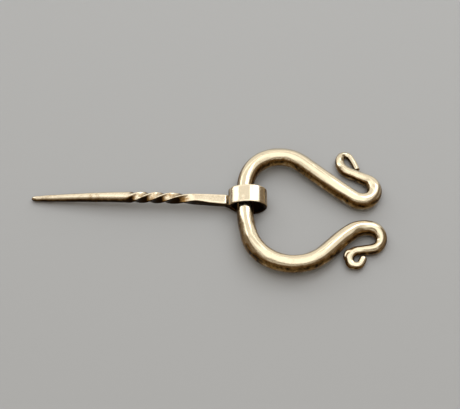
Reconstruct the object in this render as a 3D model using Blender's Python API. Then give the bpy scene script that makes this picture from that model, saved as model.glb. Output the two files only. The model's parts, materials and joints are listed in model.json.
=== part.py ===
"""Omega brooch of the Roman period: a curled open hoop and its swinging pin.

Blender 4.5, metres, +Z up. The brooch lies flat: +X runs from the pin's point to
the hoop's curled ends, +Y is the far arm's side, and Z = 0 is the surface under it.

A bend is a pair (length in mm, turn in degrees). A rod is drawn by walking along
its bends, as a smith bends it, and by swelling or thinning it at named distances.
"""
import math

import bmesh
import bpy
import numpy as np
from mathutils import Vector

MM = 0.001

# Hoop: one rod. Both arms start at the middle of the straight seat under the collar.
# A positive turn closes the hoop, and a negative one turns the arm's end outward.
FAR_ARM_BENDS = (
    (2.6, 0), (5.5, 24), (7.0, 45), (9.0, 62), (6.5, 1), (10.0, -6),
    (4.5, -81), (7.0, -104), (4.5, -7), (6.5, 93), (2.8, 123), (4.35, 17),
)
NEAR_ARM_BENDS = (
    (2.6, 0), (9.0, 15), (8.0, 48), (14.0, 70), (4.5, 4), (5.5, -11),
    (4.5, -45), (8.5, -165), (3.3, 0), (4.5, 111), (3.0, 126), (1.8, 6),
)
# Thickness of each arm: (distance from the seat's middle in mm, diameter in mm).
FAR_ARM_TAPER = (
    (0, 4.1), (13, 4.58), (30, 4.5), (42, 4.25), (48, 3.75), (54.5, 2.8),
    (58, 2.75), (61.5, 2.3), (65, 1.6), (69.9, 1.55),
)
NEAR_ARM_TAPER = (
    (0, 4.1), (8, 4.25), (15.5, 4.7), (25, 4.4), (35, 4.48), (41.5, 4.35),
    (48, 3.7), (54.5, 2.7), (60, 2.4), (65, 1.9), (68.7, 1.8),
)
BEND_EASE = 1.0 * MM          # length over which one bend runs into the next
ROD_STEP = 1.2 * MM           # longest stretch between two points of the rod
ROD_TURN_STEP = 10.0          # largest turn between two points, in degrees
ROD_SEAT_LIFT = 1.05 * MM     # the seat's underside over the ground
HOOP_REACH = 32.5 * MM        # from the seat to where the curled ends touch the ground
EASE_SAMPLES = 9              # readings averaged wherever a bend or a twist is eased

# Pin: the swinging bar, drawn from its point to the strip that wraps the seat.
HINGE_HEIGHT = ROD_SEAT_LIFT + 0.5 * FAR_ARM_TAPER[0][1] * MM
BAR_LENGTH = 48.3 * MM        # from the shoulder to the point
SHOULDER = Vector((-4.95, 0.1, 2.4)) * MM - Vector((0.0, 0.0, HINGE_HEIGHT))
POINT_RISE = -1.65 * MM       # the point's height against the shoulder
POINT_SWAY = 1.65 * MM        # the point's sideways place against the shoulder
BAR_BOW_UP = 0.95 * MM
BAR_BOW_SIDE = 0.10 * MM
BAR_STEP = 1.6 * MM           # between two sections of the round point
POINT_ROUND = 0.1 * MM        # how far back the point's rounded end begins
# (distance from the shoulder in mm, width in mm, height in mm, squareness)
BAR_SECTIONS = (
    (0, 2.96, 1.6, 5.0), (3, 2.8, 1.75, 5.0), (7, 2.3, 2.2, 5.0), (9, 2.25, 2.25, 5.0),
    (21, 2.3, 2.3, 4.0), (25, 2.65, 2.65, 2.2), (31, 2.5, 2.5, 2.0), (37, 2.15, 2.15, 2.0),
    (43, 1.8, 1.8, 2.0), (47, 1.4, 1.4, 2.0), (48, 1.1, 1.1, 2.0), (48.3, 0.5, 0.5, 2.0),
)
TWIST_START = 7.6 * MM
TWIST_END = 25.0 * MM
# (distance from the shoulder, turn of the square bar), in millimetres and degrees
TWIST = ((7.6, 0), (10.4, 36), (13.4, 86), (18.9, 217), (22.3, 300), (24.8, 365))
TWIST_EASE = 1.6 * MM
TWIST_STEP = 0.5 * MM         # between two sections of the twisted bar

# Collar: the pin's own end, hammered into a strip and rolled round the seat.
STRIP_WIDTH = 5.1 * MM
STRIP_THICKNESS = 0.68 * MM
STRIP_SQUARENESS = 6.0
COLLAR_HALF_LENGTH = 4.5 * MM     # of the strip's middle line, along X
COLLAR_HALF_HEIGHT = 2.75 * MM
COLLAR_OFFSET = 0.65 * MM         # the collar's middle, ahead of the rod's
COLLAR_START = math.radians(-105)
COLLAR_END = math.radians(172)
SHOULDER_DROP = math.radians(28)  # how steeply the bar dives under the rod
NECK_THICKNESS = 1.6 * MM
NECK_CURVE = 0.38                 # how long the neck keeps its first and last heading
NECK_THINNING = 1.3               # the neck thins faster than it widens
NECK_SECTIONS = 8
STRIP_STEP = math.radians(9)

SECTION_POINTS = 16
ROD_SIDES_RESOLUTION = 5          # gives the rod 14 sides
SHARP_ANGLE = 40                  # edges that turn more than this, in degrees, show
WORN_DEPTH = 0.05 * MM            # how far the resting spots are worn flat


def clear_scene():
    """Remove every object that is in the scene."""
    for obj in list(bpy.data.objects):
        bpy.data.objects.remove(obj, do_unlink=True)


def make_collection(name):
    """Add a collection to the scene."""
    collection = bpy.data.collections.new(name)
    bpy.context.scene.collection.children.link(collection)
    return collection


def make_metal(name, colour, roughness):
    """Make a plain metal material."""
    metal = bpy.data.materials.new(name)
    metal.use_nodes = True
    shader = metal.node_tree.nodes["Principled BSDF"]
    shader.inputs["Base Color"].default_value = (*colour, 1.0)
    shader.inputs["Metallic"].default_value = 1.0
    shader.inputs["Roughness"].default_value = roughness
    return metal


def ease(value):
    """Smooth step between 0 and 1."""
    value = min(max(value, 0.0), 1.0)
    return value * value * (3.0 - 2.0 * value)


def eased_columns(table, distance):
    """Read a table of (distance in mm, value, ...) rows, eased between rows."""
    rows = [np.array(row, dtype=float) for row in table]
    distance_mm = distance / MM
    for low, high in zip(rows, rows[1:]):
        if distance_mm <= high[0]:
            share = ease((distance_mm - low[0]) / (high[0] - low[0]))
            return low[1:] + (high[1:] - low[1:]) * share
    return rows[-1][1:]


def eased_reading(distance, ease_length, distances, values):
    """Read values set at distances, averaged over a short length round each distance."""
    steps = np.arange(EASE_SAMPLES) - EASE_SAMPLES // 2
    readings = [
        np.interp(distance + step / EASE_SAMPLES * ease_length, distances, values)
        for step in steps
    ]
    return np.mean(readings, axis=0)


def station_distances(bends):
    """Choose the points along an arm: close together where it turns sharply."""
    distances = [0.0]
    for length, turn in bends:
        count = math.ceil(max(length * MM / ROD_STEP, abs(turn) / ROD_TURN_STEP))
        start = distances[-1]
        distances += [start + length * MM * (k + 1) / count for k in range(count)]
    return distances


def walk_arm(bends, side):
    """Walk along an arm from the seat. side is +1 for the far arm, -1 for the near one.

    Returns (distance, x, y) for each point of the arm.
    """
    fine_step = 0.05 * MM
    total = sum(length for length, turn in bends) * MM
    fine = np.linspace(0.0, total, int(total / fine_step) + 1)
    lengths = np.cumsum([0.0] + [length * MM for length, turn in bends])
    turns = np.cumsum([0.0] + [turn for length, turn in bends])
    heading = np.radians(90.0 - eased_reading(fine, BEND_EASE, lengths, turns))
    middle = 0.5 * (heading[1:] + heading[:-1])
    step = fine[1] - fine[0]
    x = np.concatenate(([0.0], np.cumsum(np.cos(middle) * step)))
    y = np.concatenate(([0.0], np.cumsum(np.sin(middle) * step)))
    return [
        (distance, np.interp(distance, fine, x), side * np.interp(distance, fine, y))
        for distance in station_distances(bends)
    ]


def rod_points():
    """Return (place, radius) along the whole rod, from the far curl to the near one."""
    slope = math.asin(ROD_SEAT_LIFT / HOOP_REACH)
    arms = []
    for bends, taper, side in (
        (FAR_ARM_BENDS, FAR_ARM_TAPER, 1), (NEAR_ARM_BENDS, NEAR_ARM_TAPER, -1),
    ):
        arm = []
        for distance, x, y in walk_arm(bends, side):
            radius = 0.5 * MM * eased_columns(taper, distance)[0]
            height = radius + ROD_SEAT_LIFT - math.tan(slope) * x
            arm.append((Vector((x, y, height)), radius))
        arms.append(arm)
    far, near = arms
    return far[:0:-1] + near


def mesh_from_curve(curve_object):
    """Turn a curve object into a closed mesh object in the same place."""
    depsgraph = bpy.context.evaluated_depsgraph_get()
    mesh = bpy.data.meshes.new_from_object(curve_object.evaluated_get(depsgraph))
    shell = bmesh.new()
    shell.from_mesh(mesh)
    bmesh.ops.remove_doubles(shell, verts=shell.verts, dist=0.01 * MM)
    bmesh.ops.recalc_face_normals(shell, faces=shell.faces)
    shell.to_mesh(mesh)
    shell.free()
    solid = bpy.data.objects.new(curve_object.name + "_mesh", mesh)
    solid.matrix_world = curve_object.matrix_world
    bpy.data.objects.remove(curve_object)
    return solid


def wear_flat(mesh, level):
    """Cut a mesh off at a height, in its own space, and close it with flat faces."""
    shell = bmesh.new()
    shell.from_mesh(mesh)
    cut = bmesh.ops.bisect_plane(
        shell, geom=shell.verts[:] + shell.edges[:] + shell.faces[:], dist=1e-7,
        plane_co=(0.0, 0.0, level), plane_no=(0.0, 0.0, -1.0), clear_outer=True,
    )
    rim = [item for item in cut["geom_cut"] if isinstance(item, bmesh.types.BMEdge)]
    bmesh.ops.holes_fill(shell, edges=rim)
    bmesh.ops.recalc_face_normals(shell, faces=shell.faces)
    shell.to_mesh(mesh)
    shell.free()


def shade_round(mesh):
    """Shade a mesh smooth, except across its sharp edges."""
    mesh.shade_smooth()
    mesh.set_sharp_from_angle(angle=math.radians(SHARP_ANGLE))


def make_hoop(collection, parent):
    """Model the hoop: a tapering round rod, with its resting spots worn flat."""
    curve = bpy.data.curves.new("hoop_rod", "CURVE")
    curve.dimensions = "3D"
    curve.bevel_depth = 1.0
    curve.bevel_resolution = ROD_SIDES_RESOLUTION
    curve.use_fill_caps = True
    spline = curve.splines.new("POLY")
    points = rod_points()
    spline.points.add(len(points) - 1)
    for point, (place, radius) in zip(spline.points, points):
        point.co = (*place, 1.0)
        point.radius = radius
    rod = bpy.data.objects.new("hoop_rod", curve)
    collection.objects.link(rod)
    bpy.context.view_layer.update()
    hoop = mesh_from_curve(rod)
    hoop.name = "hoop"
    collection.objects.link(hoop)
    wear_flat(hoop.data, WORN_DEPTH)
    shade_round(hoop.data)
    hoop.data.materials.append(make_metal("cast_bronze", (0.62, 0.44, 0.22), 0.25))
    hoop.parent = parent
    return hoop


def twist_after(distance):
    """Return the bar's turn in radians at a distance from the shoulder."""
    places = [place * MM for place, turn in TWIST]
    turns = [math.radians(turn) for place, turn in TWIST]
    return float(eased_reading(distance, TWIST_EASE, places, turns))


def bar_stations():
    """Return (place, width, height, squareness, twist) from the point to the shoulder."""
    distances = {row[0] * MM for row in BAR_SECTIONS}
    distances |= set(np.arange(TWIST_START, TWIST_END, TWIST_STEP))
    distances |= set(np.arange(TWIST_END, BAR_LENGTH - BAR_STEP, BAR_STEP))
    distances.add(BAR_LENGTH - POINT_ROUND)
    stations = []
    for distance in sorted(distances, reverse=True):
        share = distance / BAR_LENGTH
        bow = math.sin(math.pi * share)
        place = SHOULDER + Vector((
            -distance,
            POINT_SWAY * share + BAR_BOW_SIDE * bow,
            POINT_RISE * share + BAR_BOW_UP * bow,
        ))
        width, height, squareness = eased_columns(BAR_SECTIONS, distance)
        stations.append((place, width * MM, height * MM, squareness, twist_after(distance)))
    return stations


def collar_place(angle):
    """Return the middle of the strip at an angle round the collar."""
    return Vector((
        COLLAR_OFFSET + COLLAR_HALF_LENGTH * math.cos(angle),
        0.0,
        COLLAR_HALF_HEIGHT * math.sin(angle),
    ))


def neck_stations():
    """Return the stations of the neck, which dives from the shoulder under the rod."""
    start = SHOULDER
    end = collar_place(COLLAR_START)
    reach = NECK_CURVE * (end - start).length
    leave = Vector((math.cos(SHOULDER_DROP), 0.0, -math.sin(SHOULDER_DROP))) * reach
    arrive = (collar_place(COLLAR_START + 0.01) - end).normalized() * reach
    bar_width, bar_squareness = BAR_SECTIONS[0][1] * MM, BAR_SECTIONS[0][3]
    stations = []
    for k in range(1, NECK_SECTIONS):
        t = k / NECK_SECTIONS
        place = (
            start * (1 - t) ** 3 + (start + leave) * 3 * t * (1 - t) ** 2
            + (end - arrive) * 3 * t * t * (1 - t) + end * t ** 3
        )
        width = bar_width + (STRIP_WIDTH - bar_width) * ease(t)
        thinned = ease(NECK_THINNING * t)
        height = NECK_THICKNESS + (STRIP_THICKNESS - NECK_THICKNESS) * thinned
        stations.append((place, width, height, bar_squareness, 0.0))
    return stations


def collar_stations():
    """Return the stations of the strip round the rod, to its free end."""
    count = math.ceil((COLLAR_END - COLLAR_START) / STRIP_STEP)
    section = (STRIP_WIDTH, STRIP_THICKNESS, STRIP_SQUARENESS, 0.0)
    return [
        (collar_place(COLLAR_START + (COLLAR_END - COLLAR_START) * k / count), *section)
        for k in range(count + 1)
    ]


def section_ring(place, tangent, width, height, squareness, twist):
    """Return the points of one rounded section, square to the tangent."""
    across = (Vector((0.0, 1.0, 0.0)) - tangent * tangent.y).normalized()
    upward = tangent.cross(across)
    ring = []
    for k in range(SECTION_POINTS):
        angle = 2.0 * math.pi * k / SECTION_POINTS
        cosine, sine = math.cos(angle), math.sin(angle)
        u = 0.5 * width * math.copysign(abs(cosine) ** (2.0 / squareness), cosine)
        v = 0.5 * height * math.copysign(abs(sine) ** (2.0 / squareness), sine)
        turned_u = u * math.cos(twist) - v * math.sin(twist)
        turned_v = u * math.sin(twist) + v * math.cos(twist)
        ring.append(place + across * turned_u + upward * turned_v)
    return ring


def loft(name, stations):
    """Skin a row of sections with quads and close both ends."""
    places = [station[0] for station in stations]
    shell = bmesh.new()
    rings = []
    for index, station in enumerate(stations):
        before = places[max(index - 1, 0)]
        after = places[min(index + 1, len(places) - 1)]
        tangent = (after - before).normalized()
        ring = section_ring(station[0], tangent, *station[1:])
        rings.append([shell.verts.new(point) for point in ring])
    for ring, following in zip(rings, rings[1:]):
        for k in range(SECTION_POINTS):
            after = (k + 1) % SECTION_POINTS
            shell.faces.new((ring[k], ring[after], following[after], following[k]))
    shell.faces.new(reversed(rings[0]))
    shell.faces.new(rings[-1])
    bmesh.ops.recalc_face_normals(shell, faces=shell.faces)
    mesh = bpy.data.meshes.new(name)
    shell.to_mesh(mesh)
    shell.free()
    return mesh


def make_pin(collection, hinge):
    """Model the pin: point, twisted bar, shoulder and rolled collar, in one body."""
    mesh = loft("pin", bar_stations() + neck_stations() + collar_stations())
    wear_flat(mesh, WORN_DEPTH - HINGE_HEIGHT)
    shade_round(mesh)
    mesh.materials.append(make_metal("hammered_bronze", (0.68, 0.53, 0.30), 0.3))
    pin = bpy.data.objects.new("pin", mesh)
    collection.objects.link(pin)
    pin.parent = hinge
    return pin


def make_empty(collection, name, parent=None):
    """Add an empty to place other objects by."""
    empty = bpy.data.objects.new(name, None)
    empty.empty_display_size = 5 * MM
    collection.objects.link(empty)
    empty.parent = parent
    return empty


def stand_over_origin(carrier, solids):
    """Move the carrier so that the solids' box stands on the origin, centred."""
    bpy.context.view_layer.update()
    corners = np.array([
        solid.matrix_world @ vertex.co for solid in solids for vertex in solid.data.vertices
    ])
    low, high = corners.min(axis=0), corners.max(axis=0)
    carrier.location = (-(low[0] + high[0]) / 2, -(low[1] + high[1]) / 2, -low[2])
    bpy.context.view_layer.update()


def main():
    """Build the brooch."""
    clear_scene()
    collection = make_collection("omega_brooch")
    carrier = make_empty(collection, "brooch_place")
    hinge = make_empty(collection, "pin_hinge", carrier)
    hinge.location.z = HINGE_HEIGHT
    hoop = make_hoop(collection, carrier)
    pin = make_pin(collection, hinge)
    stand_over_origin(carrier, [hoop, pin])


main()
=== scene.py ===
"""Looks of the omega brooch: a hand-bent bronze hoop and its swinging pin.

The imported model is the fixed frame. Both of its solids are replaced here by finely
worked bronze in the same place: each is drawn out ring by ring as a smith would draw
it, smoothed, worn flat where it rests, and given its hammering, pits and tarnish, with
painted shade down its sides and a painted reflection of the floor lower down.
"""
import json
import logging
import math
from dataclasses import dataclass, field
from enum import Enum
from typing import Sequence

import bpy
import numpy as np
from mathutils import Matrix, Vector, noise


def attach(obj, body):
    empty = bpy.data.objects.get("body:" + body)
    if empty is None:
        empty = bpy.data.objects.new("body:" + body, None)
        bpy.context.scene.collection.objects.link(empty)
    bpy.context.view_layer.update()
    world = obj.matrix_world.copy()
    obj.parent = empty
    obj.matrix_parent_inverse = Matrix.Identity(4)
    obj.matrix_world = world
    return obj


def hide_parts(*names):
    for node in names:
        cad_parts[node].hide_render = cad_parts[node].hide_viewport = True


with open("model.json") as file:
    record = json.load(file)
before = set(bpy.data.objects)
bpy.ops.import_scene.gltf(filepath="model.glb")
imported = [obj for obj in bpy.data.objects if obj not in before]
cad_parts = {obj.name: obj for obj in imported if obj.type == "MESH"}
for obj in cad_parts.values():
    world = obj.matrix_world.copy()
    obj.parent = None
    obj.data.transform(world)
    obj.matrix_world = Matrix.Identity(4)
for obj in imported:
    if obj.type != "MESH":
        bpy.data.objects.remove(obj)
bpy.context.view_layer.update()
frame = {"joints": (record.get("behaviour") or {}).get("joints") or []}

MM = 0.001
HINGE = Vector(frame["joints"][0]["pos_m"])
EASE_SAMPLES = 9  # readings averaged wherever a bend or a twist is eased
SMOOTHING_LEVELS = 2  # subdivision of both pieces

# The Mix node's sockets for colours: its share, its two inputs and its output.
MIX_SHARE, MIX_FIRST, MIX_SECOND, MIX_OUTPUT = 0, 6, 7, 2

log = logging.getLogger("omega_brooch")

Bend = tuple[float, float]
TaperRow = tuple[float, ...]


class Axis(Enum):
    """The world axes that a ring is turned about."""

    X = "X"
    Y = "Y"
    Z = "Z"


def ease(value: np.ndarray | float) -> np.ndarray | float:
    """Return a smooth step of value between 0 and 1."""
    held = np.clip(value, 0.0, 1.0)
    return held * held * (3.0 - 2.0 * held)


def eased_columns(table: Sequence[TaperRow], distance_mm: float) -> np.ndarray:
    """Read a table of (distance, value, ...) rows, eased between rows.

    Args:
        table: Rows in order of distance, in millimetres.
        distance_mm: Where to read, in millimetres.

    Returns:
        The row's values without its distance.
    """
    rows = [np.array(row, dtype=float) for row in table]
    for low, high in zip(rows, rows[1:]):
        if distance_mm <= high[0]:
            share = ease((distance_mm - low[0]) / (high[0] - low[0]))
            return low[1:] + (high[1:] - low[1:]) * share
    return rows[-1][1:]


def linear_colour(hex_code: str) -> tuple[float, float, float, float]:
    """Turn an sRGB colour into a linear one.

    Args:
        hex_code: The colour, such as '#C8A86A'.

    Returns:
        Its linear red, green and blue, and an alpha of 1.
    """
    channels = [int(hex_code[place:place + 2], 16) / 255.0 for place in (1, 3, 5)]
    red, green, blue = (
        value / 12.92 if value <= 0.04045 else ((value + 0.055) / 1.055) ** 2.4
        for value in channels
    )
    return (red, green, blue, 1.0)


def add_node(
    tree: bpy.types.NodeTree,
    kind: str,
    settings: dict[str, object] | None = None,
    inputs: dict[str | int, object] | None = None,
) -> bpy.types.Node:
    """Add one node, set it up and link it.

    Args:
        tree: The node tree to add to.
        kind: The node's type name.
        settings: Values of the node's own properties.
        inputs: A value, or an output socket to link, for each named input.

    Returns:
        The new node.
    """
    node = tree.nodes.new(kind)
    for name, value in (settings or {}).items():
        setattr(node, name, value)
    for name, value in (inputs or {}).items():
        if isinstance(value, bpy.types.NodeSocket):
            tree.links.new(value, node.inputs[name])
        else:
            node.inputs[name].default_value = value
    return node


def deselect_all() -> None:
    """Leave nothing selected, so that an operator acts on new work only."""
    bpy.ops.object.select_all(action="DESELECT")


def apply_modifier(piece: bpy.types.Object, kind: str, **settings: object) -> None:
    """Add a modifier to a piece, set it up and apply it.

    Args:
        piece: The piece to change.
        kind: The modifier's type name.
        **settings: Values of the modifier's own properties.
    """
    deselect_all()
    piece.select_set(True)
    bpy.context.view_layer.objects.active = piece
    modifier = piece.modifiers.new(kind.title(), kind)
    for name, value in settings.items():
        setattr(modifier, name, value)
    bpy.ops.object.modifier_apply(modifier=modifier.name)


def read_vectors(mesh: bpy.types.Mesh, kind: str) -> np.ndarray:
    """Read one vector for each of a mesh's vertices.

    Args:
        mesh: The mesh to read.
        kind: 'co' for the places, or 'normal'.

    Returns:
        One row for each vertex.
    """
    flat = np.zeros(len(mesh.vertices) * 3)
    mesh.vertices.foreach_get(kind, flat)
    return flat.reshape(-1, 3)


def move_vertices(mesh: bpy.types.Mesh, places: np.ndarray) -> None:
    """Put the mesh's vertices at new places."""
    mesh.vertices.foreach_set("co", places.ravel())
    mesh.update()


def store_point_values(mesh: bpy.types.Mesh, name: str, values: np.ndarray) -> None:
    """Store one number, or one vector, for each vertex.

    Args:
        mesh: The mesh to store them on.
        name: The attribute's name.
        values: One number or one row for each vertex.
    """
    if values.ndim == 1:
        attribute = mesh.attributes.new(name, "FLOAT", "POINT")
        attribute.data.foreach_set("value", values.astype(np.float32))
    else:
        attribute = mesh.attributes.new(name, "FLOAT_VECTOR", "POINT")
        attribute.data.foreach_set("vector", values.astype(np.float32).ravel())


@dataclass(frozen=True)
class Marks:
    """Soft lumps and hollows, as hammering or casting leaves them.

    Size is that of one lump. Strength is its height in metres, or its share of
    whatever it changes. The seed shifts the pattern, so that two of them differ.
    """

    size: float
    strength: float
    seed: float

    def waves(self, places: np.ndarray) -> np.ndarray:
        """Return smooth noise between about -1 and 1 at each place.

        Args:
            places: Rows of places, in metres.

        Returns:
            One number for each place.
        """
        shift = Vector((self.seed, 2.0 * self.seed, -self.seed))
        scale = 1.0 / self.size
        return np.array([noise.noise(Vector(place) * scale + shift) for place in places])

    def relief(self, places: np.ndarray) -> np.ndarray:
        """Return how far the marks raise each place."""
        return self.strength * self.waves(places)


@dataclass(frozen=True)
class Pits:
    """A scatter of casting pits: their spacing, their size against it, and their depth."""

    spacing: float
    share: float
    depth: float
    seed: float

    def cover(self, places: np.ndarray) -> np.ndarray:
        """Return how deep in a pit each place lies, from 0 to 1.

        Args:
            places: Rows of places, in metres.

        Returns:
            One number for each place.
        """
        shift = Vector((self.seed, -self.seed, 3.0 * self.seed))
        scale = 1.0 / self.spacing
        nearest = np.array([
            noise.voronoi(Vector(place) * scale + shift)[0][0] for place in places
        ])
        return 1.0 - ease(nearest / self.share)


@dataclass(frozen=True)
class Turning:
    """A change that comes on as a surface turns away from the sky.

    Start is the upward part of the normal at which it begins, span is how much less
    of it the change takes, and amount is how much it darkens, as tarnish or painted shade,
    or, when below 0, how much it lightens as a painted reflection.
    """

    start: float
    span: float
    amount: float = 1.0

    def on(self, up: np.ndarray) -> np.ndarray:
        """Return the change at each place, from the upward part of its normal."""
        return self.amount * ease((self.start - up) / self.span)


@dataclass(frozen=True)
class BronzeFinish:
    """A bronze surface, from its worn bright faces to the dark skin in its hollows.

    An attribute on the mesh says how dark each place is, partly as tarnish and partly as
    painted shade and painted reflection, and the attribute 'lay' runs slowly along the
    metal and fast across it, as filing does.
    """

    name: str
    bright: str
    warm: str
    dark: str
    gloss_roughness: float
    pit_roughness: float
    # Filing and polishing lines are 0.02 mm apart on the metal, too fine to show. They
    # are drawn as streaks half a millimetre wide.
    streak_mm: float = 0.5
    streak_height_mm: float = 0.012
    streak_relief: float = 0.25
    # Patina gathers in blotches a little over a millimetre across.
    blotch_mm: float = 1.4
    # The crystals of bronze are about 0.05 mm, and are drawn at least twice as coarse to
    # show.
    grain_mm: float = 0.12
    grain_height_mm: float = 0.012
    grain_relief: float = 0.6
    blotch_share: float = 1.2
    streak_share: float = 0.5
    streak_dulling: float = 0.16
    warm_from: float = 0.12
    warm_to: float = 0.62
    dark_from: float = 0.55
    dark_to: float = 1.05

    def make(self) -> bpy.types.Material:
        """Build the material."""
        metal = bpy.data.materials.new(self.name)
        metal.use_nodes = True
        tree = metal.node_tree
        shader = tree.nodes["Principled BSDF"]
        shader.inputs["Metallic"].default_value = 1.0
        place = add_node(tree, "ShaderNodeTexCoord").outputs["Object"]
        lay = add_node(tree, "ShaderNodeAttribute", {"attribute_name": "lay"})
        streaks = add_node(
            tree, "ShaderNodeTexNoise", None,
            {
                "Vector": lay.outputs["Vector"],
                "Scale": 1.0 / (self.streak_mm * MM), "Detail": 3.0,
            },
        ).outputs["Fac"]
        stain_and_painted_light = self.stain_and_painted_light(tree, place, streaks)
        tree.links.new(self.colour(tree, stain_and_painted_light), shader.inputs["Base Color"])
        tree.links.new(self.roughness(tree, stain_and_painted_light, streaks), shader.inputs["Roughness"])
        tree.links.new(self.relief(tree, place, streaks), shader.inputs["Normal"])
        return metal

    def stain_and_painted_light(
        self, tree: bpy.types.NodeTree, place: bpy.types.NodeSocket,
        streaks: bpy.types.NodeSocket,
    ) -> bpy.types.NodeSocket:
        """Break the mesh's tarnish and painted shade up into blotches and streaks.

        Args:
            tree: The material's node tree.
            place: The place on the piece.
            streaks: The filing streaks, between 0 and 1.

        Returns:
            How dark each place is, as tarnish and painted shade: 0 is worn bright, 1 is dark.
        """
        # The mesh's darkness is partly patina, partly painted shade and painted reflection.
        patina_and_painted_light = add_node(tree, "ShaderNodeAttribute", {"attribute_name": "patina_and_painted_light"})
        blotches = add_node(
            tree, "ShaderNodeTexNoise", None,
            {
                "Vector": place, "Scale": 1.0 / (self.blotch_mm * MM),
                "Detail": 5.0, "Roughness": 0.62,
            },
        ).outputs["Fac"]
        uneven = add_node(
            tree, "ShaderNodeMath", {"operation": "MULTIPLY_ADD"},
            {0: blotches, 1: self.blotch_share, 2: -0.5 * self.blotch_share},
        ).outputs[0]
        blotched = add_node(
            tree, "ShaderNodeMath", {"operation": "ADD"},
            {0: patina_and_painted_light.outputs["Fac"], 1: uneven},
        ).outputs[0]
        streaked = add_node(
            tree, "ShaderNodeMath", {"operation": "MULTIPLY_ADD"},
            {0: streaks, 1: self.streak_share, 2: -0.5 * self.streak_share},
        ).outputs[0]
        return add_node(
            tree, "ShaderNodeMath", {"operation": "ADD"}, {0: blotched, 1: streaked}
        ).outputs[0]

    def colour(
        self, tree: bpy.types.NodeTree, stain_and_painted_light: bpy.types.NodeSocket
    ) -> bpy.types.NodeSocket:
        """Colour the metal from bright through warm to dark.

        Args:
            tree: The material's node tree.
            stain_and_painted_light: How dark each place is, as tarnish and painted shade.

        Returns:
            The metal's colour.
        """
        warmth = add_node(
            tree, "ShaderNodeMapRange", {"interpolation_type": "SMOOTHSTEP"},
            {"Value": stain_and_painted_light, "From Min": self.warm_from, "From Max": self.warm_to},
        ).outputs["Result"]
        darkness = add_node(
            tree, "ShaderNodeMapRange", {"interpolation_type": "SMOOTHSTEP"},
            {"Value": stain_and_painted_light, "From Min": self.dark_from, "From Max": self.dark_to},
        ).outputs["Result"]
        warmed = add_node(
            tree, "ShaderNodeMix", {"data_type": "RGBA"},
            {
                MIX_SHARE: warmth, MIX_FIRST: linear_colour(self.bright),
                MIX_SECOND: linear_colour(self.warm),
            },
        ).outputs[MIX_OUTPUT]
        return add_node(
            tree, "ShaderNodeMix", {"data_type": "RGBA"},
            {MIX_SHARE: darkness, MIX_FIRST: warmed, MIX_SECOND: linear_colour(self.dark)},
        ).outputs[MIX_OUTPUT]

    def roughness(
        self, tree: bpy.types.NodeTree, stain_and_painted_light: bpy.types.NodeSocket,
        streaks: bpy.types.NodeSocket,
    ) -> bpy.types.NodeSocket:
        """Dull the metal where it is tarnished or painted dark, and a little along its streaks.

        Args:
            tree: The material's node tree.
            stain_and_painted_light: How dark each place is, as tarnish and painted shade.
            streaks: The filing streaks, between 0 and 1.

        Returns:
            The metal's roughness.
        """
        dulled = add_node(
            tree, "ShaderNodeMapRange", None,
            {
                "Value": stain_and_painted_light, "From Min": 0.0, "From Max": 1.0,
                "To Min": self.gloss_roughness, "To Max": self.pit_roughness,
            },
        ).outputs["Result"]
        streaked = add_node(
            tree, "ShaderNodeMath", {"operation": "MULTIPLY_ADD"},
            {0: streaks, 1: self.streak_dulling, 2: -0.5 * self.streak_dulling},
        ).outputs[0]
        return add_node(
            tree, "ShaderNodeMath", {"operation": "ADD", "use_clamp": True},
            {0: dulled, 1: streaked},
        ).outputs[0]

    def relief(
        self, tree: bpy.types.NodeTree, place: bpy.types.NodeSocket,
        streaks: bpy.types.NodeSocket,
    ) -> bpy.types.NodeSocket:
        """Raise the filing streaks and the metal's grain.

        Args:
            tree: The material's node tree.
            place: The place on the piece.
            streaks: The filing streaks, between 0 and 1.

        Returns:
            The surface's normal.
        """
        grain = add_node(
            tree, "ShaderNodeTexNoise", None,
            {"Vector": place, "Scale": 1.0 / (self.grain_mm * MM), "Detail": 4.0},
        ).outputs["Fac"]
        lines = add_node(
            tree, "ShaderNodeBump", None,
            {
                "Strength": self.streak_relief, "Distance": self.streak_height_mm * MM,
                "Height": streaks,
            },
        ).outputs["Normal"]
        return add_node(
            tree, "ShaderNodeBump", None,
            {
                "Strength": self.grain_relief, "Distance": self.grain_height_mm * MM,
                "Height": grain, "Normal": lines,
            },
        ).outputs["Normal"]


# Cast bronze, polished by hand and by wear: a pale yellow gloss with crisp reflections on
# top, a mottled brown down the flanks, partly casting skin and partly painted shade, and
# pits that stay nearly black.
CAST_BRONZE = BronzeFinish(
    name="cast_bronze_polished", bright="#E8DCBF", warm="#9B7743", dark="#2A1C0D",
    gloss_roughness=0.15, pit_roughness=0.34,
)
# Bronze hammered flat, filed and rubbed: a slightly paler, softer sheen, with patina in the
# hammer's hollows and the twist's grooves, and painted shade on the twist's flanks and in
# the collar.
HAMMERED_BRONZE = BronzeFinish(
    name="hammered_bronze_satin", bright="#E9DDC2", warm="#9B7743", dark="#2A1C0D",
    gloss_roughness=0.19, pit_roughness=0.36, grain_mm=0.1,
)


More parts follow.
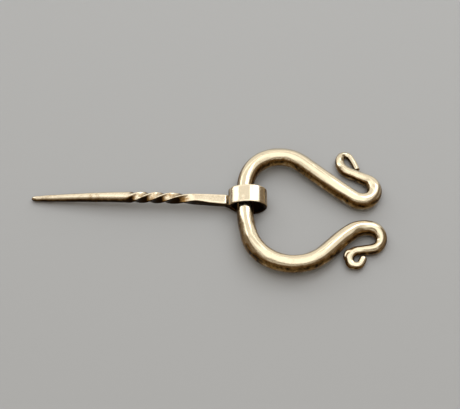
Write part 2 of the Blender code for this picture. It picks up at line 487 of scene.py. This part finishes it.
class DrawnBar:
    """A bar that is drawn out of one ring, in edit mode, a step at a time."""

    def __init__(self, name: str, sides: int, radius: float, place: Vector, facing: float) -> None:
        """Add the first ring, closed by a face, square to a level heading.

        Args:
            name: The piece's name.
            sides: Points round the bar.
            radius: Radius of the first ring.
            place: Middle of the first ring.
            facing: Heading of the bar in radians, from +X towards +Y.
        """
        deselect_all()
        bpy.ops.mesh.primitive_circle_add(
            vertices=sides, radius=radius, fill_type="NGON", location=place,
            rotation=(0.0, math.pi / 2.0, facing),
        )
        self.piece: bpy.types.Object = bpy.context.object
        self.piece.name = name
        self.piece.data.name = name
        bpy.ops.object.transform_apply(location=True, rotation=True, scale=True)
        bpy.ops.object.mode_set(mode="EDIT")
        self.centre = place.copy()

    def extend(self, place: Vector) -> None:
        """Draw the end of the bar out to a new middle."""
        bpy.ops.mesh.extrude_region_move(
            TRANSFORM_OT_translate={"value": place - self.centre}
        )
        self.centre = place.copy()

    def turn(self, axis: Axis, angle: float) -> None:
        """Turn the end about its middle.

        With no window the operator turns the other way, so its angle is negated.

        Args:
            axis: The world axis to turn about.
            angle: The turn in radians, by the right-hand rule.
        """
        if abs(angle) > 1e-9:
            bpy.ops.transform.rotate(
                value=-angle, orient_axis=axis.value, orient_type="GLOBAL",
                center_override=self.centre,
            )

    def swell(self, along_x: float, along_y: float, along_z: float) -> None:
        """Scale the end about its middle."""
        bpy.ops.transform.resize(
            value=(along_x, along_y, along_z), orient_type="GLOBAL",
            center_override=self.centre,
        )

    def square_off(self, before: float, after: float) -> None:
        """Hammer the end ring from one squareness to another, along its own sides.

        The ring has to lie untwisted and square to +X.

        Args:
            before: Squareness of the ring now; 2 is round.
            after: Squareness that it gets.
        """
        if before == after:
            return
        bpy.ops.object.mode_set(mode="OBJECT")
        ring = [vertex for vertex in self.piece.data.vertices if vertex.select]
        half_y = max(abs(vertex.co.y - self.centre.y) for vertex in ring)
        half_z = max(abs(vertex.co.z - self.centre.z) for vertex in ring)
        for vertex in ring:
            for axis, half in ((1, half_y), (2, half_z)):
                share = (vertex.co[axis] - self.centre[axis]) / half
                hammered = math.copysign(abs(share) ** (before / after), share)
                vertex.co[axis] = self.centre[axis] + half * hammered
        bpy.ops.object.mode_set(mode="EDIT")

    def finish(self) -> bpy.types.Object:
        """Leave edit mode and smooth the bar.

        Returns:
            The closed piece.
        """
        bpy.ops.mesh.select_all(action="SELECT")
        bpy.ops.mesh.normals_make_consistent(inside=False)
        bpy.ops.object.mode_set(mode="OBJECT")
        apply_modifier(
            self.piece, "SUBSURF", levels=SMOOTHING_LEVELS, render_levels=SMOOTHING_LEVELS
        )
        self.piece.data.shade_smooth()
        return self.piece


@dataclass(frozen=True)
class Ring:
    """One ring of the hoop: its middle, its heading in degrees and its radius."""

    place: Vector
    facing: float
    radius: float


@dataclass
class Hoop:
    """The hoop: one rod, bent from a straight seat into an omega with curled ends.

    A bend is (length in mm, turn in degrees), walked outwards from the seat's middle.
    A taper row is (distance from the seat's middle in mm, diameter in mm).
    """

    finish: BronzeFinish
    far_bends: Sequence[Bend] = (
        (2.6, 0), (5.5, 24), (7.0, 45), (9.0, 62), (6.5, 1), (10.0, -6),
        (4.5, -81), (7.0, -104), (4.5, -7), (6.5, 93), (2.8, 123), (4.35, 17),
    )
    near_bends: Sequence[Bend] = (
        (2.6, 0), (9.0, 15), (8.0, 48), (14.0, 70), (4.5, 4), (5.5, -11),
        (4.5, -45), (8.5, -165), (3.3, 0), (4.5, 111), (3.0, 126), (1.8, 6),
    )
    far_taper: Sequence[TaperRow] = (
        (0, 4.1), (13, 4.58), (30, 4.5), (42, 4.25), (48, 3.75), (54.5, 2.8),
        (58, 2.75), (61.5, 2.3), (65, 1.6), (69.9, 1.55),
    )
    near_taper: Sequence[TaperRow] = (
        (0, 4.1), (8, 4.25), (15.5, 4.7), (25, 4.4), (35, 4.48), (41.5, 4.35),
        (48, 3.7), (54.5, 2.7), (60, 2.4), (65, 1.9), (68.7, 1.8),
    )
    bend_ease: float = 1.0 * MM
    fine_step: float = 0.05 * MM
    ring_step: float = 1.0 * MM
    ring_turn: float = 8.0
    seat_lift: float = 1.05 * MM
    reach: float = 32.5 * MM
    sides: int = 24
    # The last ring is drawn in a little, so that the rod's end looks filed round.
    end_round: float = 0.1 * MM
    end_shrink: float = 0.8

    # Hammering and casting: long swellings, as a share of the radius, narrow flats that
    # wander round the rod, dents, and rough patches of casting skin on the flanks.
    swelling: Marks = Marks(size=5.0 * MM, strength=0.012, seed=3.0)
    dents: Marks = Marks(size=2.2 * MM, strength=0.035 * MM, seed=11.0)
    skin: Marks = Marks(size=3.0 * MM, strength=0.4, seed=23.0)
    ripples: Marks = Marks(size=0.6 * MM, strength=0.045 * MM, seed=31.0)
    pits: Pits = Pits(spacing=1.0 * MM, share=0.5, depth=0.11 * MM, seed=7.0)
    flats: float = 8.0
    flat_height: float = 0.022 * MM
    flat_wander: float = 1.5
    flat_wander_length: float = 6.0 * MM
    ripple_flattening: float = 1.6
    skin_spread: float = 0.55
    skin_contrast: float = 1.2

    # Patina and painted light: none on the worn top, and the sides darkened as they turn
    # from the sky, partly patina and partly painted shade. The low flank and the underside
    # are lightened again as a painted reflection of the floor.
    flank: Turning = Turning(start=0.6, span=0.6)
    side_stain_and_shade: Turning = Turning(start=0.90, span=0.5, amount=0.85)
    # The low flank and the underside are lightened as a painted reflection of the floor.
    low_flank_painted_reflection: Turning = Turning(start=0.35, span=0.4, amount=-0.25)
    underside_painted_reflection: Turning = Turning(start=-0.15, span=0.5, amount=-0.2)
    pit_stain: float = 0.6
    lay_shares: tuple[float, float, float] = (0.04, 0.05, 0.0)

    # The near curl's outer bend is upset into a squarish block with a groove in it. Its
    # start and end are measured back from the rod's end, and the curl's middle is the mean
    # of the rings between these two, counted back from the last one.
    block_start: float = 10.5 * MM
    block_start_fade: float = 1.5 * MM
    block_end: float = 4.2 * MM
    block_end_fade: float = 1.2 * MM
    block_rings: tuple[int, int] = (-33, -3)
    block_core: float = 1.3 * MM
    block_core_fade: float = 0.7 * MM
    block_push: float = 0.5 * MM
    block_flat_share: float = 0.3
    block_corner_share: float = 1.3
    block_far_corner: float = 0.7
    block_top: float = 0.8 * MM
    block_top_fade: float = 0.6 * MM
    groove_radius: float = 1.85 * MM
    groove_width: float = 0.16 * MM
    groove_depth: float = 0.16 * MM

    route: list[Ring] = field(default_factory=list)

    def ring_distances(self, bends: Sequence[Bend]) -> list[float]:
        """Choose where the rings go: close together where the rod turns sharply.

        Args:
            bends: The arm's bends.

        Returns:
            Distances from the seat's middle, in metres.
        """
        distances = [0.0]
        for length, turn in bends:
            count = math.ceil(max(length * MM / self.ring_step, abs(turn) / self.ring_turn))
            start = distances[-1]
            distances += [start + length * MM * (k + 1) / count for k in range(count)]
        distances.insert(-1, distances[-1] - self.end_round)
        return distances

    def walk(self, bends: Sequence[Bend], taper: Sequence[TaperRow], side: int) -> list[Ring]:
        """Walk along an arm from the seat.

        Args:
            bends: The arm's bends.
            taper: The arm's thickness.
            side: +1 for the far arm, -1 for the near one.

        Returns:
            The arm's rings, from the seat outwards.
        """
        total = sum(length for length, _ in bends) * MM
        fine = np.linspace(0.0, total, int(total / self.fine_step) + 1)
        lengths = np.cumsum([0.0] + [length * MM for length, _ in bends])
        turns = np.cumsum([0.0] + [turn for _, turn in bends])
        steps = np.arange(EASE_SAMPLES) - EASE_SAMPLES // 2
        offsets = steps / EASE_SAMPLES * self.bend_ease
        turned = np.mean([np.interp(fine + offset, lengths, turns) for offset in offsets], axis=0)
        heading = 90.0 - turned
        middle = np.radians(0.5 * (heading[1:] + heading[:-1]))
        stretch = fine[1] - fine[0]
        x = np.concatenate(([0.0], np.cumsum(np.cos(middle) * stretch)))
        y = np.concatenate(([0.0], np.cumsum(np.sin(middle) * stretch)))
        seat_height = self.seat_lift + 0.5 * self.far_taper[0][1] * MM
        rise = math.tan(math.asin(self.seat_lift / self.reach))
        distances = self.ring_distances(bends)
        rings = []
        for distance in distances:
            radius = 0.5 * MM * eased_columns(taper, distance / MM)[0]
            ahead = float(np.interp(distance, fine, x))
            aside = side * float(np.interp(distance, fine, y))
            height = radius + self.seat_lift - rise * ahead - seat_height
            facing = side * float(np.interp(distance, fine, heading))
            if distance == distances[-1]:
                radius *= self.end_shrink
            rings.append(Ring(HINGE + Vector((ahead, aside, height)), facing, radius))
        return rings

    def plan_route(self) -> None:
        """Work out the rings of the whole rod, from the far curl's end to the near one's."""
        far = self.walk(self.far_bends, self.far_taper, 1)
        near = self.walk(self.near_bends, self.near_taper, -1)
        inward = [Ring(ring.place, ring.facing - 180.0, ring.radius) for ring in far[:0:-1]]
        self.route = inward + near

    def draw(self) -> bpy.types.Object:
        """Draw the rod out along its route.

        Returns:
            The smoothed rod, without its marks.
        """
        self.plan_route()
        first = self.route[0]
        bar = DrawnBar(
            "hoop_bronze", self.sides, first.radius, first.place, math.radians(first.facing)
        )
        for old, new in zip(self.route, self.route[1:]):
            bar.extend(new.place)
            bar.turn(Axis.Z, math.radians(new.facing - old.facing))
            growth = new.radius / old.radius
            bar.swell(growth, growth, growth)
        return bar.finish()

    def lay_of(self, places: np.ndarray) -> tuple[np.ndarray, np.ndarray]:
        """Find how far along the rod and how far round it each place lies.

        Args:
            places: Rows of places on the rod.

        Returns:
            Distance along the rod in metres, and the outward direction from its middle.
        """
        batch = 4000
        middles = np.array([tuple(ring.place) for ring in self.route])
        radii = np.array([ring.radius for ring in self.route])
        steps = np.linalg.norm(np.diff(middles, axis=0), axis=1)
        along = np.concatenate(([0.0], np.cumsum(steps)))
        nearest = np.zeros(len(places), dtype=int)
        for start in range(0, len(places), batch):
            part = places[start:start + batch]
            gaps = np.linalg.norm(part[:, None] - middles[None], axis=2) / radii[None]
            nearest[start:start + batch] = gaps.argmin(axis=1)
        return along[nearest], places - middles[nearest]

    def square_curl(self, places: np.ndarray, along: np.ndarray) -> np.ndarray:
        """Upset the near curl's outer bend into the squarish block that the hammer left.

        Args:
            places: Rows of places on the rod.
            along: How far along the rod each one lies.

        Returns:
            The places, with the curl's outer side squared off and grooved.
        """
        length = sum((b.place - a.place).length for a, b in zip(self.route, self.route[1:]))
        left = length - along
        on_block = ease((self.block_start - left) / self.block_start_fade)
        on_block *= 1.0 - ease((self.block_end - left) / self.block_end_fade)
        first, last = self.block_rings
        curl = [ring.place for ring in self.route[first:last]]
        middle = np.array(sum(curl, Vector()) / len(curl))
        gap = (places - middle) * (1.0, 1.0, 0.0)
        reach = np.maximum(np.linalg.norm(gap, axis=1), 1e-9)
        toward = gap / reach[:, None]
        backward = ease((-toward[:, 0] - 0.1) / 0.5)
        # A corner is where the direction lies between the axes; the far one is sharper.
        sharpness = self.block_corner_share + self.block_far_corner * np.sign(toward[:, 1])
        corner = np.abs(toward[:, 0] * toward[:, 1]) * sharpness
        outer = ease((reach - self.block_core) / self.block_core_fade)
        push = self.block_push * on_block * backward * outer * (self.block_flat_share + corner)
        groove_gap = (reach - self.groove_radius) / self.groove_width
        groove = np.exp(-groove_gap ** 2) * backward * on_block
        top = ease((places[:, 2] - self.block_top) / self.block_top_fade)
        squared = places + toward * push[:, None]
        squared[:, 2] -= self.groove_depth * groove * top
        return squared

    def work_surface(self, piece: bpy.types.Object) -> None:
        """Give the rod its hammering, casting pits and tarnish, with painted shade and a painted
        floor reflection.

        Args:
            piece: The drawn rod.
        """
        mesh = piece.data
        smooth = read_vectors(mesh, "co")
        normals = read_vectors(mesh, "normal")
        up = normals[:, 2]
        along, outward = self.lay_of(smooth)
        worked = smooth + outward * self.swelling.relief(smooth)[:, None]
        around = np.arctan2(up, np.hypot(normals[:, 0], normals[:, 1]))
        wander = self.flat_wander * np.sin(along / self.flat_wander_length)
        flats = np.cos(around * self.flats + wander)
        worked += normals * (self.flat_height * flats)[:, None]
        worked += normals * self.dents.relief(smooth)[:, None]
        flank = self.flank.on(up)
        skin = self.skin.waves(smooth)
        rough = flank * ease(self.skin_spread + self.skin_contrast * skin)
        pits = self.pits.cover(smooth) * rough
        worked -= normals * (self.pits.depth * pits)[:, None]
        stretched = smooth * (1.0, 1.0, self.ripple_flattening)
        ripples = self.ripples.waves(stretched) * rough
        worked += normals * (self.ripples.strength * ripples)[:, None]
        worked = self.square_curl(worked, along)
        worked[:, 2] = np.maximum(worked[:, 2], 0.0)
        move_vertices(mesh, worked)
        # Darker sides: patina together with painted shade. Pits and casting skin: patina. Lighter
        # low flank and underside: a painted reflection of the floor.
        patina_and_painted_light = self.side_stain_and_shade.on(up) + self.pit_stain * pits
        patina_and_painted_light += self.skin.strength * skin * flank + self.low_flank_painted_reflection.on(up)
        patina_and_painted_light += self.underside_painted_reflection.on(up)
        store_point_values(mesh, "patina_and_painted_light", patina_and_painted_light)
        store_point_values(mesh, "lay", outward + np.outer(along, self.lay_shares))

    def build(self) -> bpy.types.Object:
        """Model the hoop and dress it in its bronze.

        Returns:
            The finished piece.
        """
        piece = self.draw()
        self.work_surface(piece)
        piece.data.materials.append(self.finish.make())
        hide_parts("hoop")
        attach(piece, "hoop")
        return piece


@dataclass
class Station:
    """One ring of the pin: its middle, its size, its squareness and its turns."""

    place: Vector
    width: float
    height: float
    squareness: float
    twist: float = 0.0
    pitch: float = 0.0


@dataclass
class Pin:
    """The pin: a point, a twisted bar, a shoulder, and the strip rolled into a collar.

    A section row is (distance from the shoulder in mm, width, height, squareness), and
    a twist row is (distance from the shoulder in mm, turn in degrees). Places are
    worked out from the hinge in the middle of the rod.
    """

    finish: BronzeFinish
    bar_length: float = 48.3 * MM
    shoulder: Vector = field(default_factory=lambda: Vector((-4.95, 0.1, -0.7)) * MM)
    point_rise: float = -1.65 * MM
    point_sway: float = 1.65 * MM
    bow_up: float = 0.95 * MM
    bow_side: float = 0.10 * MM
    sections: Sequence[TaperRow] = (
        (0, 2.96, 1.6, 6.0), (0.2, 2.96, 1.62, 6.0), (3, 2.8, 1.75, 6.0), (7, 2.3, 2.2, 6.0),
        (9, 2.25, 2.25, 6.0), (21, 2.3, 2.3, 5.0), (25, 2.65, 2.65, 2.2), (31, 2.5, 2.5, 2.0),
        (37, 2.15, 2.15, 2.0), (43, 1.8, 1.8, 2.0), (47, 1.4, 1.4, 2.0),
        (48, 1.1, 1.1, 2.0), (48.3, 0.5, 0.5, 2.0),
    )
    plain_step: float = 0.8 * MM
    twist_step: float = 0.4 * MM
    point_step: float = 1.0 * MM
    point_clear: float = 1.2 * MM
    point_round: float = 0.08 * MM
    twist_start: float = 7.6 * MM
    twist_end: float = 25.0 * MM
    twist_rows: Sequence[Bend] = (
        (7.6, 0), (10.4, 36), (13.4, 86), (18.9, 217), (22.3, 300), (24.8, 365),
    )
    twist_ease: float = 1.6 * MM
    strip_width: float = 5.1 * MM
    strip_thickness: float = 0.68 * MM
    strip_squareness: float = 8.0
    strip_rings: int = 56
    strip_corner: float = 0.45 * MM
    strip_end_shrink: float = 0.8
    collar_half_length: float = 4.5 * MM
    collar_half_height: float = 2.75 * MM
    collar_offset: float = 0.65 * MM
    collar_edge: float = -4.2 * MM
    collar_edge_fade: float = 0.8 * MM
    collar_start: float = math.radians(-105.0)
    collar_end: float = math.radians(172.0)
    shoulder_drop: float = math.radians(28.0)
    neck_thickness: float = 1.6 * MM
    neck_curve: float = 0.38
    neck_thinning: float = 1.3
    neck_rings: int = 12
    neck_first: float = 0.03
    sides: int = 24

    # Hammering: soft dents all over, hollow faces between the twist's ridges, narrow
    # facets across the collar, its wavy edges, and one dent on its top.
    hammering: Marks = Marks(size=2.6 * MM, strength=0.03 * MM, seed=5.0)
    edge_wave: Marks = Marks(size=1.1 * MM, strength=0.06 * MM, seed=17.0)
    pits: Pits = Pits(spacing=0.6 * MM, share=0.5, depth=0.02 * MM, seed=9.0)
    twisted_half: float = 0.5 * 2.25 * MM
    twist_fade: float = 2.0 * MM
    valley_depth: float = 0.14 * MM
    # A row of facets is (share of the height, how many go round, where they start).
    facet_height: float = 0.012 * MM
    facet_rows: Sequence[TaperRow] = ((1.0, 9.0, 0.6), (0.6, 17.0, 2.1))
    dent_place: Vector = field(default_factory=lambda: Vector((-0.45, -1.45, 3.0)) * MM)
    dent_squeeze: tuple[float, float, float] = (1.0, 1.3, 1.0)
    dent_radius: float = 0.45 * MM
    dent_depth: float = 0.07 * MM

    # Patina and painted light: none on the worn top, and the sides darkened, partly patina
    # and partly painted shade. The underside is lightened as a painted reflection of the floor,
    # the twist's flanks and the collar's cut edges are painted shade, the twist's hollows hold
    # patina, and the collar's inside is painted dark as its shade.
    pitted: Turning = Turning(start=0.3, span=0.6)
    side_stain_and_shade: Turning = Turning(start=0.84, span=0.6)
    # The twist's flanks that turn from the sky are painted shade.
    twist_painted_shade: Turning = Turning(start=0.97, span=0.35, amount=0.45)
    underside_painted_reflection: Turning = Turning(start=-0.15, span=0.5)
    bar_tarnish: float = 0.12
    bar_stain_and_shade: float = 0.98
    bar_painted_reflection: float = 0.6
    pit_stain: float = 0.25
    valley_stain: float = 0.2
    collar_stain_and_shade: float = 0.6
    # The collar's cut edges and its inside are painted shade.
    edge_painted_shade: float = 0.7
    inside_painted_shade: float = 1.4
    lay_shares: tuple[float, float, float] = (0.06, 1.0, 1.0)

    stations: list[Station] = field(default_factory=list)

    def bar_place(self, distance: float) -> Vector:
        """Return the bar's middle at a distance from the shoulder.

        Args:
            distance: From the shoulder towards the point, in metres.

        Returns:
            The middle of the bar there.
        """
        share = distance / self.bar_length
        bow = math.sin(math.pi * share)
        sway = self.point_sway * share + self.bow_side * bow
        rise = self.point_rise * share + self.bow_up * bow
        return HINGE + self.shoulder + Vector((-distance, sway, rise))

    def twist_after(self, distance: float) -> float:
        """Return the square bar's turn, in radians, at a distance from the shoulder."""
        around = distance + np.linspace(-0.5, 0.5, EASE_SAMPLES) * self.twist_ease
        return math.radians(np.interp(around / MM, *zip(*self.twist_rows)).mean())

    def bar_stations(self) -> list[Station]:
        """Return the rings from the point to the shoulder."""
        distances = {row[0] * MM for row in self.sections}
        distances |= set(np.arange(self.plain_step, self.twist_start, self.plain_step))
        distances |= set(np.arange(self.twist_start, self.twist_end, self.twist_step))
        last = self.bar_length - self.point_clear
        distances |= set(np.arange(self.twist_end, last, self.point_step))
        distances.add(self.bar_length - self.point_round)
        stations = []
        for distance in sorted(distances, reverse=True):
            width, height, squareness = eased_columns(self.sections, distance / MM)
            stations.append(Station(
                self.bar_place(distance), width * MM, height * MM, squareness,
                self.twist_after(distance),
            ))
        return stations

    def collar_place(self, angle: float) -> Vector:
        """Return the middle of the strip at an angle round the collar."""
        ahead = self.collar_offset + self.collar_half_length * math.cos(angle)
        return HINGE + Vector((ahead, 0.0, self.collar_half_height * math.sin(angle)))

    def neck_stations(self) -> list[Station]:
        """Return the rings of the neck, which dives from the shoulder under the rod."""
        start, end = HINGE + self.shoulder, self.collar_place(self.collar_start)
        reach = self.neck_curve * (end - start).length
        leave = Vector((math.cos(self.shoulder_drop), 0.0, -math.sin(self.shoulder_drop)))
        arrive = (self.collar_place(self.collar_start + 0.01) - end).normalized()
        bar_width, bar_squareness = self.sections[0][1] * MM, self.sections[0][3]
        shares = [self.neck_first] + [k / self.neck_rings for k in range(1, self.neck_rings)]
        stations = []
        for t in shares:
            place = (
                start * (1 - t) ** 3 + (start + leave * reach) * 3 * t * (1 - t) ** 2
                + (end - arrive * reach) * 3 * t * t * (1 - t) + end * t ** 3
            )
            width = bar_width + (self.strip_width - bar_width) * float(ease(t))
            thinned = float(ease(self.neck_thinning * t))
            height = self.neck_thickness + (self.strip_thickness - self.neck_thickness) * thinned
            stations.append(Station(place, width, height, bar_squareness))
        return stations

    def collar_stations(self) -> list[Station]:
        """Return the rings of the strip round the rod, to its free end with round corners."""
        sweep = self.collar_end - self.collar_start
        shares = [k / self.strip_rings for k in range(self.strip_rings)]
        shares += [1.0 - 0.3 / self.strip_rings, 1.0]
        corner = self.strip_corner
        stations = []
        for share in shares:
            width, height = self.strip_width, self.strip_thickness
            left = (1.0 - share) * sweep * self.collar_half_height
            if left < corner:
                cut = corner - math.sqrt(corner ** 2 - (corner - left) ** 2)
                width -= 2.0 * cut * self.strip_end_shrink
            if share == 1.0:
                height *= self.strip_end_shrink
            place = self.collar_place(self.collar_start + sweep * share)
            stations.append(Station(place, width, height, self.strip_squareness))
        return stations

    def plan(self) -> None:
        """Work out every ring, each one square to the way the bar runs there."""
        self.stations = self.bar_stations() + self.neck_stations() + self.collar_stations()
        last = len(self.stations) - 1
        turned = 0.0
        for index, station in enumerate(self.stations):
            before = self.stations[max(index - 1, 0)].place
            after = self.stations[min(index + 1, last)].place
            along = after - before
            pitch = -math.atan2(along.z, along.x)
            while pitch - turned > math.pi:
                pitch -= 2.0 * math.pi
            while pitch - turned < -math.pi:
                pitch += 2.0 * math.pi
            station.pitch = pitch
            turned = pitch

    def draw(self) -> bpy.types.Object:
        """Draw the bar out from its point, twist it, flatten it and roll it up.

        Returns:
            The smoothed pin, without its marks.
        """
        self.plan()
        first = self.stations[0]
        bar = DrawnBar("pin_bronze", self.sides, 0.5 * first.width, first.place, 0.0)
        bar.turn(Axis.X, first.twist)
        bar.turn(Axis.Y, first.pitch)
        for old, new in zip(self.stations, self.stations[1:]):
            bar.extend(new.place)
            bar.turn(Axis.Y, -old.pitch)
            bar.turn(Axis.X, -old.twist)
            bar.swell(1.0, new.width / old.width, new.height / old.height)
            bar.square_off(old.squareness, new.squareness)
            bar.turn(Axis.X, new.twist)
            bar.turn(Axis.Y, new.pitch)
        return bar.finish()

    def twist_valleys(self, places: np.ndarray) -> tuple[np.ndarray, np.ndarray]:
        """Find the twisted bar and the hollows between its ridges.

        Args:
            places: Rows of places on the pin.

        Returns:
            1 on the twisted bar and 0 elsewhere, and 1 in the middle of its faces only.
        """
        distance = HINGE.x + self.shoulder.x - places[:, 0]
        twisted = ease((distance - self.twist_start) / self.twist_fade)
        twisted *= 1.0 - ease((distance - self.twist_end + self.twist_fade) / self.twist_fade)
        middles = np.array([tuple(self.bar_place(place)) for place in distance])
        reach = np.linalg.norm((places - middles)[:, 1:], axis=1)
        valley = 1.0 - ease((reach - self.twisted_half) / (0.3 * self.twisted_half))
        return twisted, valley * twisted

    def collar_facets(self, round_hinge: np.ndarray) -> np.ndarray:
        """Return the height of the narrow facets that the hammer left across the strip.

        Args:
            round_hinge: Rows of places, measured from the hinge.

        Returns:
            One height for each place, in metres.
        """
        angle = np.arctan2(round_hinge[:, 2], round_hinge[:, 0] - self.collar_offset)
        return self.facet_height * sum(
            share * np.sin(count * angle + start) for share, count, start in self.facet_rows
        )

    def collar_dent(self, round_hinge: np.ndarray) -> np.ndarray:
        """Return how deep the small dent on the collar's top is at each place.

        Args:
            round_hinge: Rows of places, measured from the hinge.

        Returns:
            One depth for each place, in metres.
        """
        gap = (round_hinge - np.array(self.dent_place)) * self.dent_squeeze
        share = np.linalg.norm(gap, axis=1) / self.dent_radius
        return self.dent_depth * np.exp(-share ** 2)

    def collar_inside(self, round_hinge: np.ndarray, normals: np.ndarray) -> np.ndarray:
        """Find the collar's inner face.

        Args:
            round_hinge: Rows of places, measured from the hinge.
            normals: Their normals.

        Returns:
            1 on the inner face and 0 elsewhere.
        """
        outward = round_hinge * (1.0, 0.0, 1.0) - np.array((self.collar_offset, 0.0, 0.0))
        outward /= np.maximum(np.linalg.norm(outward, axis=1), 1e-9)[:, None]
        facing = (outward * normals).sum(axis=1)
        return ease((-facing - 0.3) / 0.4)

    def work_surface(self, piece: bpy.types.Object) -> None:
        """Give the pin its hammering, the collar's dent and tarnish, with painted shade and a
        painted floor reflection.

        Args:
            piece: The drawn pin.
        """
        mesh = piece.data
        smooth = read_vectors(mesh, "co")
        normals = read_vectors(mesh, "normal")
        up = normals[:, 2]
        round_hinge = smooth - np.array(HINGE)
        on_collar = ease((round_hinge[:, 0] - self.collar_edge) / self.collar_edge_fade)
        edge = ease((np.abs(normals[:, 1]) - 0.6) / 0.3) * on_collar
        twisted, valley = self.twist_valleys(smooth)
        pits = self.pits.cover(smooth) * self.pitted.on(up)
        worked = smooth + normals * self.hammering.relief(smooth)[:, None]
        worked -= normals * (self.valley_depth * valley)[:, None]
        worked += normals * (self.collar_facets(round_hinge) * on_collar)[:, None]
        worked[:, 2] -= self.collar_dent(round_hinge)
        worked[:, 1] += self.edge_wave.relief(smooth) * edge * np.sign(normals[:, 1])
        worked -= normals * (self.pits.depth * pits)[:, None]
        worked[:, 2] = np.maximum(worked[:, 2], 0.0)
        move_vertices(mesh, worked)
        # The sides are darkened as patina together with painted shade, and the underside is
        # lightened as a painted reflection of the floor.
        side_stain_and_shade, painted_floor_reflection = self.side_stain_and_shade.on(up), self.underside_painted_reflection.on(up)
        bar_patina_and_light = self.bar_tarnish + self.bar_stain_and_shade * side_stain_and_shade - self.bar_painted_reflection * painted_floor_reflection
        # The twist's flanks are darkened as painted shade, its hollows as patina.
        groove_patina_and_shade = self.twist_painted_shade.on(up) * twisted + self.valley_stain * valley
        inside = self.collar_inside(round_hinge, normals)
        patina_and_painted_light = bar_patina_and_light * (1.0 - on_collar) + self.pit_stain * pits
        patina_and_painted_light += groove_patina_and_shade * (1.0 - painted_floor_reflection)
        # The collar's sides are patina together with painted shade, its cut edges and its inside
        # painted shade.
        patina_and_painted_light += on_collar * (
            self.collar_stain_and_shade * side_stain_and_shade + self.edge_painted_shade * edge + self.inside_painted_shade * inside
        )
        store_point_values(mesh, "patina_and_painted_light", patina_and_painted_light)
        store_point_values(mesh, "lay", smooth * np.array(self.lay_shares))

    def build(self) -> bpy.types.Object:
        """Model the pin and dress it in its bronze.

        Returns:
            The finished piece.
        """
        piece = self.draw()
        self.work_surface(piece)
        piece.data.materials.append(self.finish.make())
        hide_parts("pin")
        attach(piece, "pin")
        return piece


@dataclass(frozen=True)
class SoftLight:
    """A soft rectangular light that faces the brooch.

    Climb is its direction in degrees from level in front, up over the brooch towards
    the back, and aside is in degrees to the right of that arc. Distance, width and
    height are in metres, and a brightness of 1 looks like a white sheet of paper.
    """

    name: str
    climb: float
    aside: float
    distance: float
    width: float
    height: float
    brightness: float

    def hang(self, aim: Vector) -> None:
        """Hang the light.

        Args:
            aim: The point that it faces.
        """
        lamp = bpy.data.lights.new(self.name, "AREA")
        lamp.shape = "RECTANGLE"
        lamp.size, lamp.size_y = self.width, self.height
        lamp.energy = math.pi * self.width * self.height * self.brightness
        holder = bpy.data.objects.new(self.name, lamp)
        bpy.context.scene.collection.objects.link(holder)
        up, right = math.radians(self.climb), math.radians(self.aside)
        towards = Vector((
            math.sin(right), -math.cos(right) * math.cos(up), math.cos(right) * math.sin(up),
        ))
        holder.location = aim + towards * self.distance
        holder.rotation_euler = (-towards).to_track_quat("-Z", "Y").to_euler()


@dataclass
class Studio:
    """A plain pale floor, soft light from above and behind, and the camera."""

    floor_colour: str = "#B7BBBD"
    floor_roughness: float = 0.75
    floor_size: float = 3.0
    room_colour: str = "#A8937B"
    room_strength: float = 0.5
    aim_offset: Vector = field(default_factory=lambda: Vector((-3.7, 0.56, 0.0)) * MM)
    camera_distance: float = 0.300
    camera_elevation: float = math.radians(55.0)
    lens_mm: float = 93.9
    sensor_mm: float = 36.0
    clip_start: float = 0.01
    lights: Sequence[SoftLight] = (
        SoftLight("overhead_softbox", 92.0, 0.0, 0.49, 0.46, 0.50, 0.52),
        SoftLight("overhead_scrim", 104.0, 0.0, 0.52, 1.05, 0.82, 0.76),
        SoftLight("front_fill", 47.0, 0.0, 0.60, 0.90, 0.22, 0.38),
        SoftLight("back_reflector", 160.0, 0.0, 0.75, 1.40, 0.70, 0.75),
        SoftLight("back_right_softbox", 128.0, 24.0, 0.50, 0.12, 0.24, 2.6),
        SoftLight("back_left_softbox", 143.0, -44.0, 0.50, 0.10, 0.24, 1.8),
    )

    @property
    def aim(self) -> Vector:
        """The point on the floor that the camera and the lights face."""
        return Vector((HINGE.x, HINGE.y, 0.0)) + self.aim_offset

    def lay_floor(self) -> None:
        """Lay the floor that the brooch rests on, in a matt paint with no highlight."""
        deselect_all()
        bpy.ops.mesh.primitive_plane_add(size=self.floor_size, location=(0.0, 0.0, 0.0))
        floor = bpy.context.object
        floor.name = "floor"
        paint = bpy.data.materials.new("pale_matt_paint")
        paint.use_nodes = True
        shader = paint.node_tree.nodes["Principled BSDF"]
        shader.inputs["Base Color"].default_value = linear_colour(self.floor_colour)
        shader.inputs["Roughness"].default_value = self.floor_roughness
        floor.data.materials.append(paint)

    def set_camera(self) -> None:
        """Place the camera in front, looking down on the brooch."""
        lens = bpy.data.cameras.new("camera")
        lens.lens = self.lens_mm
        lens.sensor_width = self.sensor_mm
        lens.clip_start = self.clip_start
        camera = bpy.data.objects.new("camera", lens)
        bpy.context.scene.collection.objects.link(camera)
        back = Vector((0.0, -math.cos(self.camera_elevation), math.sin(self.camera_elevation)))
        camera.location = self.aim + back * self.camera_distance
        camera.rotation_euler = (-back).to_track_quat("-Z", "Y").to_euler()
        bpy.context.scene.camera = camera

    def fill_room(self) -> None:
        """Give the room its dim warm walls, which the metal's sides reflect."""
        room = bpy.data.worlds.new("room")
        room.use_nodes = True
        backdrop = room.node_tree.nodes["Background"]
        backdrop.inputs["Color"].default_value = linear_colour(self.room_colour)
        backdrop.inputs["Strength"].default_value = self.room_strength
        bpy.context.scene.world = room

    def build(self) -> None:
        """Set the stage."""
        self.lay_floor()
        for light in self.lights:
            light.hang(self.aim)
        self.fill_room()
        # The standard view keeps the metal's contrast between bright crests and dark sides.
        bpy.context.scene.view_settings.view_transform = "Standard"
        self.set_camera()


def main() -> None:
    """Build the stage and both pieces, and report each."""
    logging.basicConfig(level=logging.INFO, format="%(message)s")
    Studio().build()
    for piece in (Hoop(CAST_BRONZE).build(), Pin(HAMMERED_BRONZE).build()):
        log.info("%s: %d faces", piece.name, len(piece.data.polygons))


if __name__ == "__main__":
    main()
